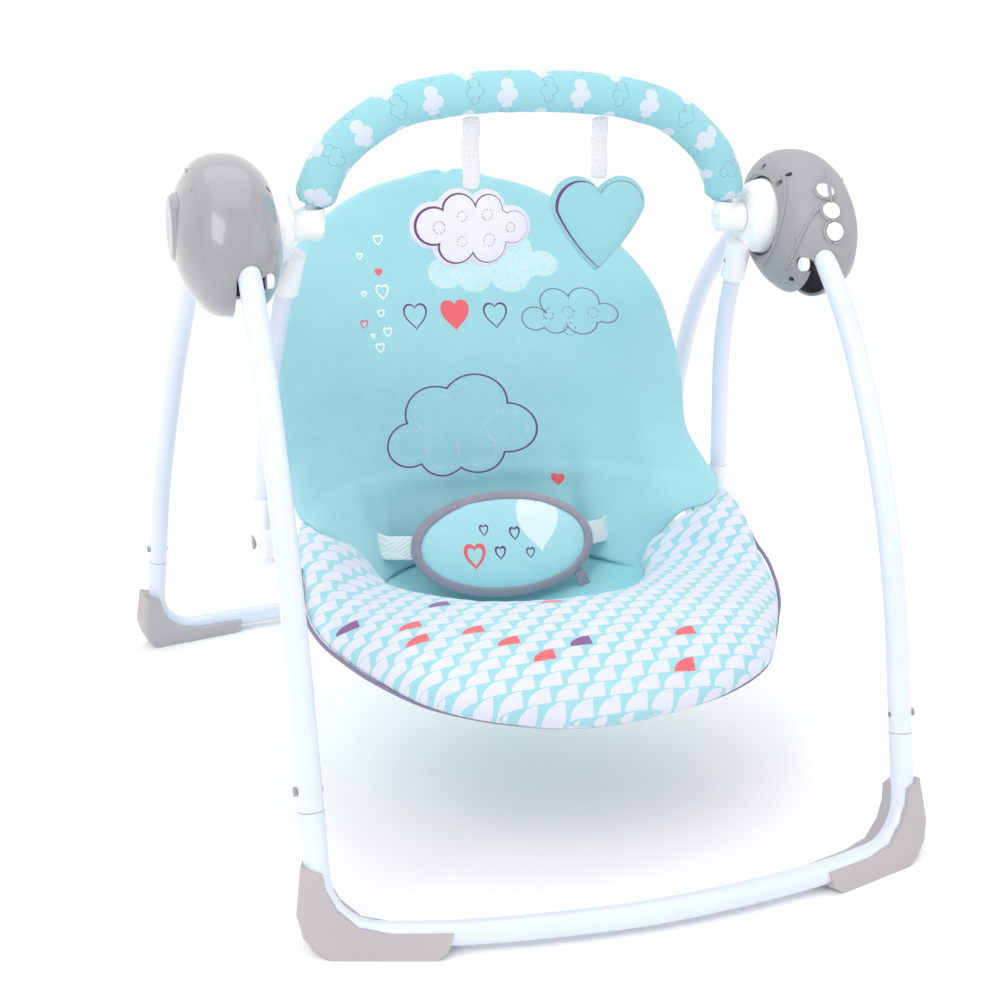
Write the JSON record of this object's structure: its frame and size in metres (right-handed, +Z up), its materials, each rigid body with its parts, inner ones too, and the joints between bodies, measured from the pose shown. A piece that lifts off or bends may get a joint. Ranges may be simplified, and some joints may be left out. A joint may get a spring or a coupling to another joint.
{
  "type": "baby swing",
  "caption": "Portable baby swing: a padded seat hangs on two curved arms between side housings, on front and rear tube legs, with a padded toy bar over it.",
  "frame": {"origin": "middle of the footprint, on the floor", "axes": "+Z up, -Y the side the sitter faces, +X towards the housing with the controls"},
  "size_m": [0.6594, 0.7602, 0.6285],
  "materials": {
    "housing_plastic": "satin moulded",
    "white_plastic": "glossy moulded",
    "frame_tube": "smooth powder coat",
    "foot_plastic": "fine-grained moulded",
    "key_plastic": "satin moulded",
    "plate_plastic": "satin moulded",
    "seat_fabric": "printed knit over padding",
    "trim_fabric": "printed knit over stuffing",
    "pad_fabric": "printed woven with bound edge",
    "webbing": "flat woven tape",
    "toy_cloud_fabric": "printed velour",
    "toy_heart_fabric": "printed velour",
    "ribbon_fabric": "dotted woven tape",
    "bar_fabric": "printed knit over foam",
    "steel": "zinc plated",
    "contact_metal": "nickel plated",
    "cell_metal": "printed sleeve",
    "board": "solder mask",
    "black_plastic": "moulded"
  },
  "bodies": {
    "rear_frame": {"rear_leg_left": "frame_tube", "rear_leg_right": "frame_tube", "rear_base_tube": "frame_tube", "rear_foot_left": "foot_plastic", "rear_foot_right": "foot_plastic", "rear_leg_screws": "steel", "housing_inner_left": "housing_plastic", "housing_inner_right": "housing_plastic", "housing_outer_left": "housing_plastic", "housing_outer_right": "housing_plastic", "axle_cap_left": "housing_plastic", "axle_bushing_left": "white_plastic", "axle_bushing_right": "white_plastic", "drive_motor": "steel", "drive_gearbox": "black_plastic", "circuit_board": "board", "speaker": "black_plastic", "batteries": "cell_metal", "battery_contacts": "contact_metal", "housing_screws": "steel"},
    "battery_door": {"battery_door": "housing_plastic"},
    "power_button": {"power_button": "key_plastic"},
    "timer_button": {"timer_button": "key_plastic"},
    "music_button": {"music_button": "key_plastic"},
    "fold_button_left": {"fold_button_left": "key_plastic"},
    "fold_button_right": {"fold_button_right": "key_plastic"},
    "front_frame": {"front_leg_left": "frame_tube", "front_leg_right": "frame_tube", "front_base_tube": "frame_tube", "front_foot_left": "foot_plastic", "front_foot_right": "foot_plastic", "front_leg_screws": "steel"},
    "swing": {"axle_left": "steel", "axle_right": "steel", "hub_left": "white_plastic", "hub_right": "white_plastic", "arm_left": "frame_tube", "arm_right": "frame_tube", "arm_screws": "steel", "recline_bracket_left": "housing_plastic", "recline_bracket_right": "housing_plastic", "recline_bolts": "steel"},
    "seat": {"seat_plate_left": "plate_plastic", "seat_plate_right": "plate_plastic", "seat_back_tube": "frame_tube", "seat_base_tube": "frame_tube", "seat_back": "seat_fabric", "seat_pan": "seat_fabric", "seat_roll": "trim_fabric", "restraint_pad": "pad_fabric", "restraint_straps": "webbing"},
    "toy_bar": {"toy_bar_socket_left": "white_plastic", "toy_bar_socket_right": "white_plastic", "toy_bar_tube": "frame_tube", "toy_bar_sleeve": "bar_fabric"},
    "cloud": {"cloud_toy": "toy_cloud_fabric", "cloud_ribbon": "ribbon_fabric"},
    "heart": {"heart_toy": "toy_heart_fabric", "heart_ribbon": "ribbon_fabric"}
  },
  "joints": [
    {"name": "leg_fold", "type": "hinge", "parent": "rear_frame", "child": "front_frame", "pos_m": [0, -0.043, 0.502], "axis": [1, 0, 0], "range_deg": [0, 55]},
    {"name": "seat_swing", "type": "hinge", "parent": "rear_frame", "child": "swing", "pos_m": [0, -0.043, 0.502], "axis": [1, 0, 0], "range_deg": [-18, 18]},
    {"name": "seat_recline", "type": "hinge", "parent": "swing", "child": "seat", "pos_m": [0, 0.025, 0.208], "axis": [1, 0, 0], "range_deg": [0, 15]},
    {"name": "toy_bar_turn", "type": "hinge", "parent": "swing", "child": "toy_bar", "pos_m": [0, -0.043, 0.502], "axis": [-1, 0, 0], "range_deg": [0, 60]},
    {"name": "cloud_hang", "type": "hinge", "parent": "toy_bar", "child": "cloud", "pos_m": [-0.055, -0.057, 0.5895], "axis": [1, 0, 0], "range_deg": [-40, 40]},
    {"name": "heart_hang", "type": "hinge", "parent": "toy_bar", "child": "heart", "pos_m": [0.06, -0.057, 0.5895], "axis": [1, 0, 0], "range_deg": [-40, 40]},
    {"name": "battery_door_lift", "type": "slide", "parent": "rear_frame", "child": "battery_door", "axis": [1, 0, 0], "range_m": [0, 0.02]},
    {"name": "power_button_press", "type": "slide", "parent": "rear_frame", "child": "power_button", "axis": [0, 0.6606, -0.7507], "range_m": [0, 0.0012], "stiffness_N_per_m": 400},
    {"name": "timer_button_press", "type": "slide", "parent": "rear_frame", "child": "timer_button", "axis": [0, 0.829, -0.5593], "range_m": [0, 0.0012], "stiffness_N_per_m": 400},
    {"name": "music_button_press", "type": "slide", "parent": "rear_frame", "child": "music_button", "axis": [0, 0.96, -0.28], "range_m": [0, 0.0012], "stiffness_N_per_m": 400},
    {"name": "fold_button_left_press", "type": "slide", "parent": "rear_frame", "child": "fold_button_left", "axis": [-1, 0, 0], "range_m": [0, 0.0025], "stiffness_N_per_m": 400},
    {"name": "fold_button_right_press", "type": "slide", "parent": "rear_frame", "child": "fold_button_right", "axis": [1, 0, 0], "range_m": [0, 0.0025], "stiffness_N_per_m": 400}
  ]
}
